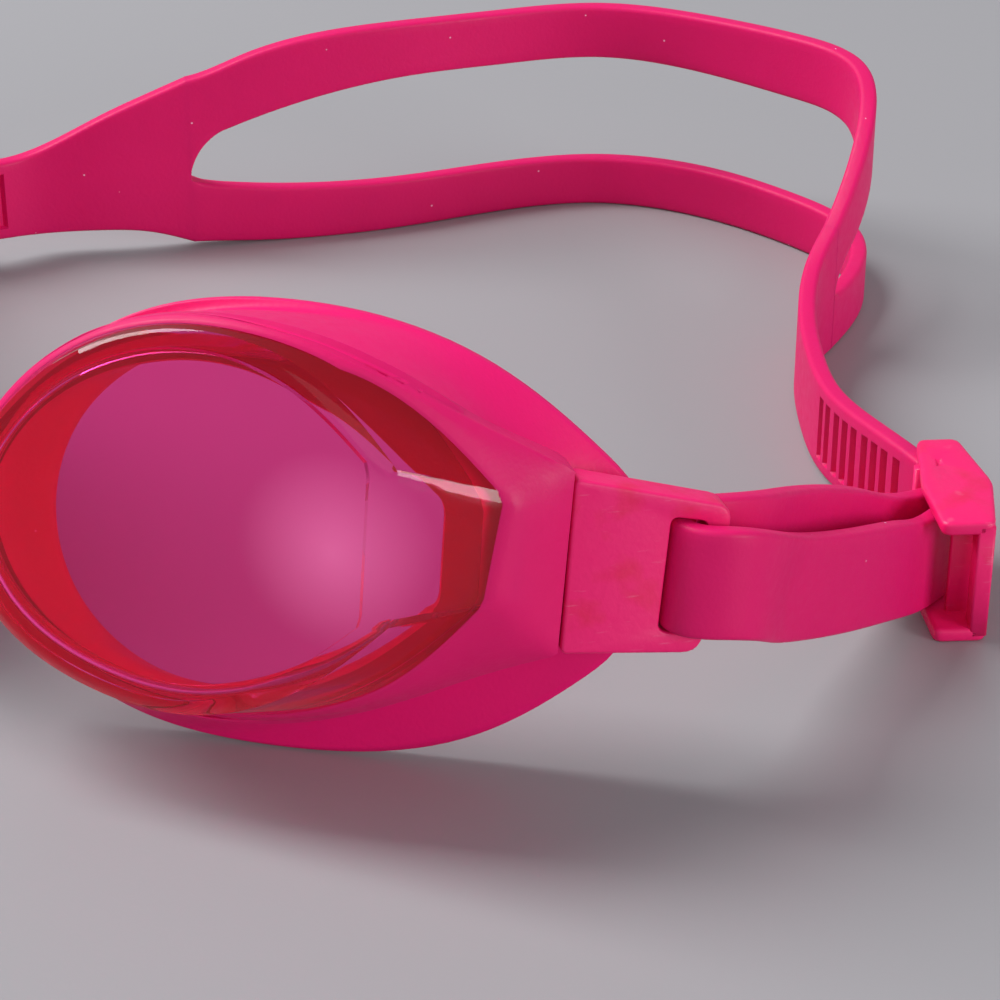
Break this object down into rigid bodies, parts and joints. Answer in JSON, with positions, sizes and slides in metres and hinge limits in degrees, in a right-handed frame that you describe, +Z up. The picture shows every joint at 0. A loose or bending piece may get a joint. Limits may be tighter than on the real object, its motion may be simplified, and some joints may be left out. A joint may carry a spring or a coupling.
{
  "type": "swim goggles",
  "caption": "Swim goggles with tinted oval lenses, soft eye seals, a flexible nose bridge, temple clips and a split silicone head strap with sliding buckles.",
  "frame": {"origin": "middle of the bounding box, on the surface that the goggles stand on", "axes": "+X is the wearer's left, +Y is from the lenses to the back of the head, +Z is up"},
  "size_m": [0.1396, 0.1294, 0.043],
  "materials": {
    "lens_tint": "clear polycarbonate tinted magenta, polished",
    "gasket_silicone": "soft satin silicone",
    "frame_satin": "satin moulded plastic",
    "clip_plastic": "satin hard plastic, lightly scratched",
    "bridge_silicone": "soft satin silicone",
    "strap_silicone": "smooth satin silicone",
    "buckle_plastic": "satin moulded plastic"
  },
  "bodies": {
    "left_side": {"left_lens": "lens_tint", "left_gasket": "gasket_silicone", "left_frame": "frame_satin", "left_temple_clip": "clip_plastic", "nose_bridge": "bridge_silicone", "head_strap": "strap_silicone"},
    "right_side": {"right_lens": "lens_tint", "right_gasket": "gasket_silicone", "right_frame": "frame_satin", "right_temple_clip": "clip_plastic"},
    "left_slide": {"left_buckle": "buckle_plastic"},
    "right_slide": {"right_buckle": "buckle_plastic"}
  },
  "joints": [
    {"name": "bridge_flex", "type": "hinge", "parent": "left_side", "child": "right_side", "pos_m": [-0.00095, -0.06168, 0.02241], "axis": [0, 0, 1], "range_deg": [-10, 10], "stiffness_Nm_per_rad": 0.06, "deforming": ["nose_bridge", "head_strap"]},
    {"name": "left_buckle_slide", "type": "slide", "parent": "left_side", "child": "left_slide", "axis": [0, -0.9511, 0.309], "range_m": [0, 0.01]},
    {"name": "right_buckle_slide", "type": "slide", "parent": "right_side", "child": "right_slide", "axis": [0, -0.9, 0.436], "range_m": [0, 0.004]}
  ]
}
